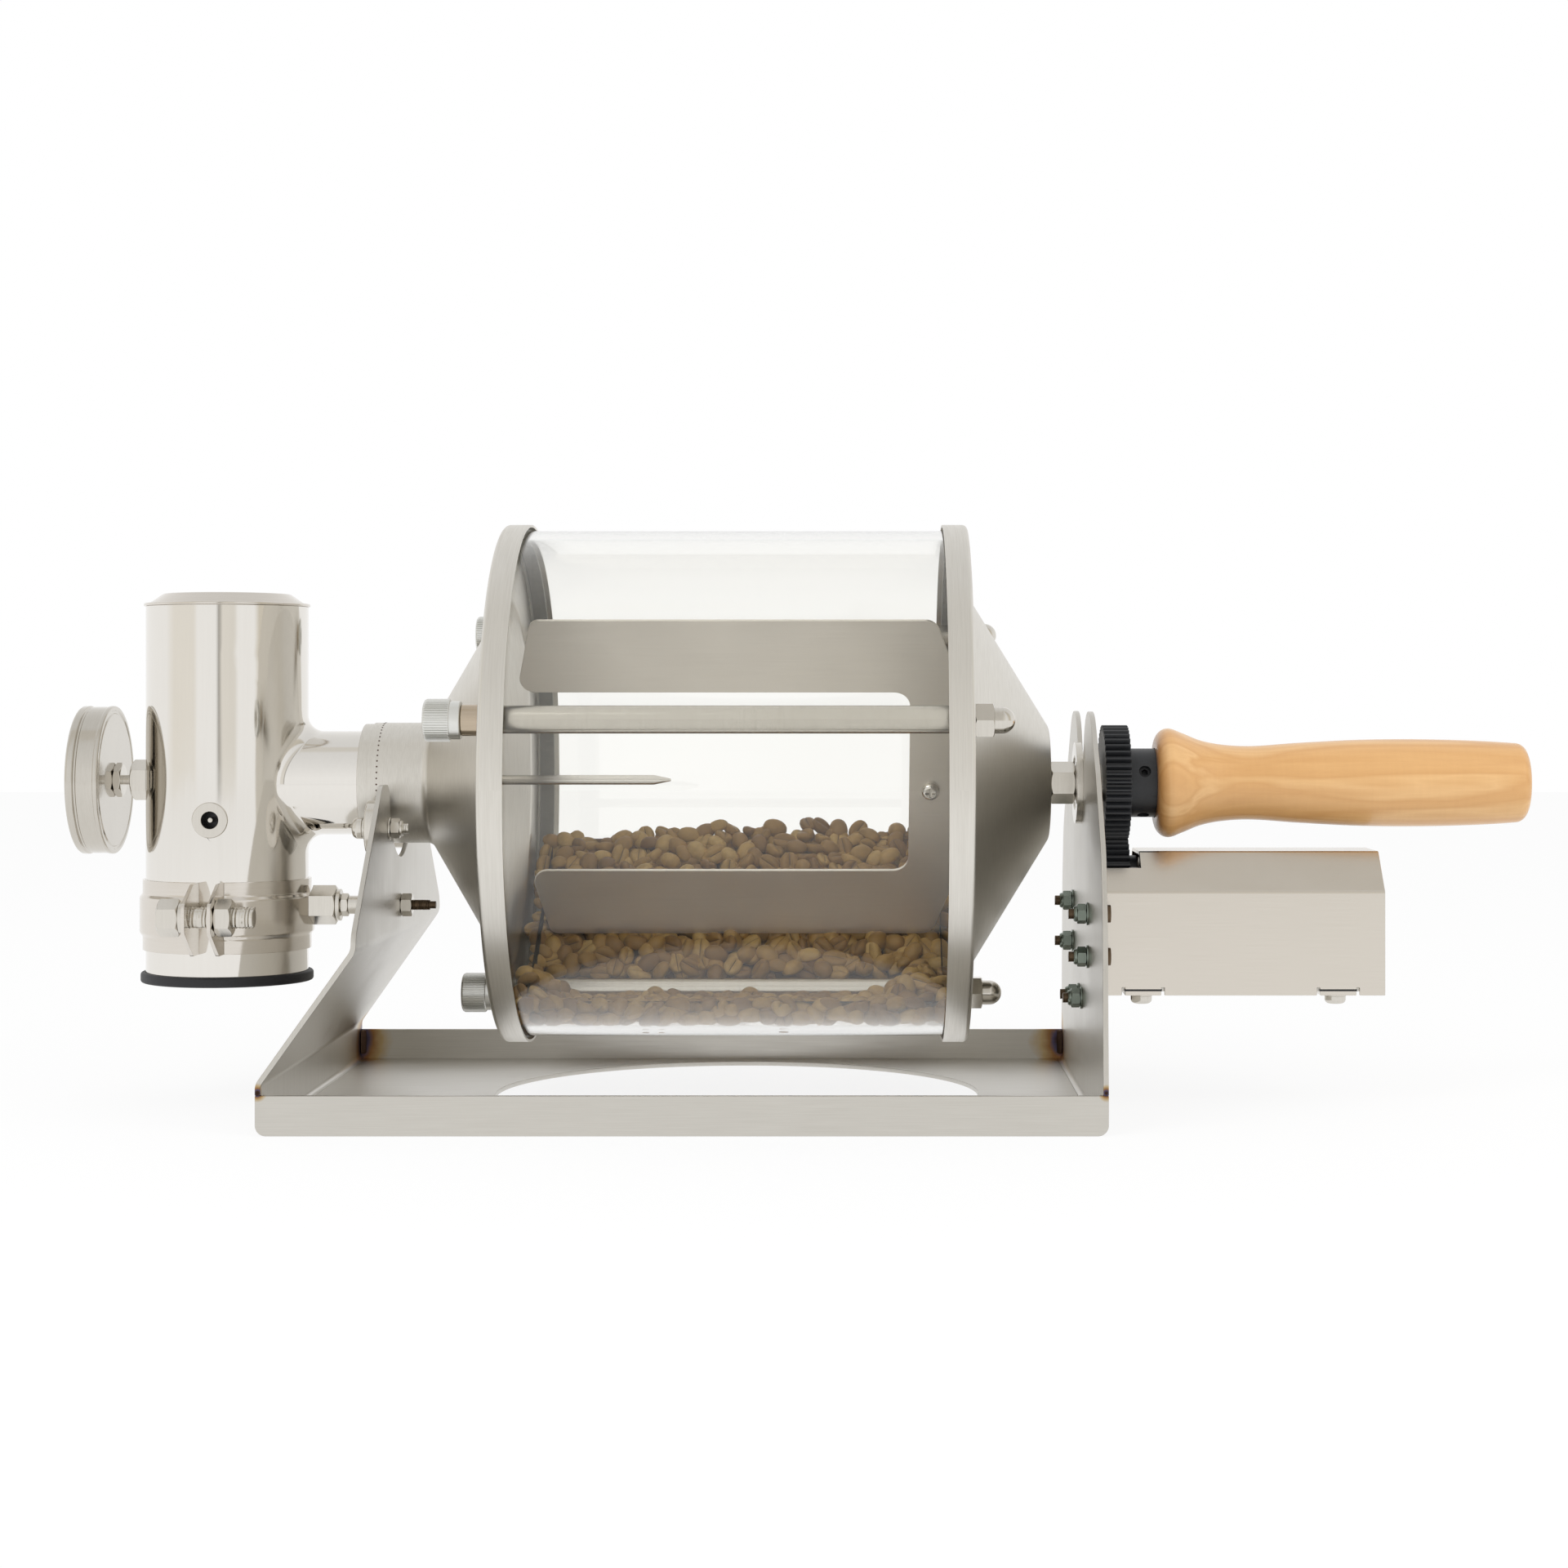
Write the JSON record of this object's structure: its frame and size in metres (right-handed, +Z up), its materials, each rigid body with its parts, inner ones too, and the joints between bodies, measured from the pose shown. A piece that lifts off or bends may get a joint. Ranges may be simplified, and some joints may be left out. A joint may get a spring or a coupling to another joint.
{
  "type": "stovetop coffee bean roaster",
  "caption": "Glass-drum coffee bean roaster on a folded steel stand over a burner, with geared motor, wooden handle, chaff tube, fan and thermometer.",
  "frame": {"origin": "centre of the burner hole on the underside of the tray", "axes": "+X along the drum towards the handle, +Y to the rear, +Z up"},
  "size_m": [0.5881, 0.22, 0.2328],
  "materials": {
    "sheet_steel": "satin rolled sheet",
    "spun_steel": "brushed round",
    "polished_steel": "polished",
    "weld_steel": "heat tinted",
    "zinc_steel": "zinc plated",
    "bearing_steel": "ground",
    "black_steel": "black oxide",
    "motor_steel": "plated",
    "nickel": "nickel plated",
    "knob_aluminium": "knurled",
    "drum_glass": "clear",
    "gauge_glass": "clear",
    "silicone": "matt",
    "rubber_black": "matt",
    "gear_black": "matt",
    "handle_wood": "varnished",
    "fan_black": "matt",
    "socket_black": "gloss",
    "socket_metal": "nickel plated",
    "dial_white": "matt",
    "pointer_black": "satin"
  },
  "bodies": {
    "stand": {"tray_floor": "sheet_steel", "tray_walls": "sheet_steel", "left_upright": "sheet_steel", "right_upright": "sheet_steel", "corner_welds": "weld_steel", "roller_bolts": "zinc_steel", "roller_nuts": "zinc_steel", "bearing_outer_ring": "bearing_steel", "bearing_balls": "bearing_steel", "motor_bracket": "sheet_steel", "bracket_bolts": "zinc_steel", "bracket_nuts": "zinc_steel", "motor_mount": "sheet_steel", "gear_motor": "motor_steel", "mount_screws": "zinc_steel", "motor_cover": "polished_steel", "cover_screws": "zinc_steel", "motor_jack": "socket_black", "tee_tube": "polished_steel", "fan_jack": "socket_metal", "rubber_ring": "rubber_black", "fan_frame": "fan_black", "band_clamp": "polished_steel", "clamp_bolt": "zinc_steel", "clamp_nut": "zinc_steel", "clamp_boss": "polished_steel", "mount_stud": "zinc_steel", "stud_nuts": "zinc_steel", "gauge_case": "polished_steel", "gauge_glass": "gauge_glass", "gauge_dial": "dial_white", "probe_stem": "polished_steel", "probe_gland": "nickel"},
    "drum": {"left_cap": "spun_steel", "left_neck": "spun_steel", "right_cap": "spun_steel", "neck_lining": "polished_steel", "glass_cylinder": "drum_glass", "drum_gaskets": "silicone", "tie_tubes": "spun_steel", "tie_studs": "zinc_steel", "knob_spacers": "nickel", "tie_knobs": "knob_aluminium", "acorn_nuts": "nickel", "upper_paddle": "spun_steel", "lower_paddle": "spun_steel", "paddle_screws": "zinc_steel", "drum_shaft": "bearing_steel", "shaft_nuts": "zinc_steel", "bearing_inner_ring": "bearing_steel", "drum_gear": "gear_black", "gear_set_screws": "black_steel", "handle": "handle_wood"},
    "pinion_shaft": {"pinion": "gear_black", "motor_spindle": "bearing_steel"},
    "roller_front": {"front_roller": "bearing_steel"},
    "roller_rear": {"rear_roller": "bearing_steel"},
    "fan_impeller": {"fan_rotor": "fan_black"},
    "lid": {"tube_lid": "polished_steel"},
    "pointer": {"gauge_pointer": "pointer_black"}
  },
  "joints": [
    {"name": "drum_spin", "type": "hinge", "parent": "stand", "child": "drum", "pos_m": [0, 0, 0.1278], "axis": [1, 0, 0], "continuous": true},
    {"name": "pinion_spin", "type": "hinge", "parent": "stand", "child": "pinion_shaft", "pos_m": [0.1536, 0, 0.0902], "axis": [1, 0, 0], "continuous": true},
    {"name": "front_roller_spin", "type": "hinge", "parent": "stand", "child": "roller_front", "pos_m": [-0.1427, -0.0314, 0.11061], "axis": [1, 0, 0], "continuous": true},
    {"name": "rear_roller_spin", "type": "hinge", "parent": "stand", "child": "roller_rear", "pos_m": [-0.1427, 0.0314, 0.11061], "axis": [1, 0, 0], "continuous": true},
    {"name": "fan_spin", "type": "hinge", "parent": "stand", "child": "fan_impeller", "pos_m": [-0.208, 0, 0.07], "axis": [0, 0, 1], "continuous": true},
    {"name": "lid_lift", "type": "slide", "parent": "stand", "child": "lid", "axis": [0, 0, 1], "range_m": [0, 0.06]},
    {"name": "pointer_turn", "type": "hinge", "parent": "stand", "child": "pointer", "pos_m": [-0.26, 0, 0.129], "axis": [1, 0, 0], "range_deg": [0, 270]}
  ],
  "couplings": [
    {"joint": "pinion_spin", "follows": "drum_spin", "ratio": -1.5},
    {"joint": "front_roller_spin", "follows": "drum_spin", "ratio": -2.2273},
    {"joint": "rear_roller_spin", "follows": "drum_spin", "ratio": -2.2273}
  ]
}
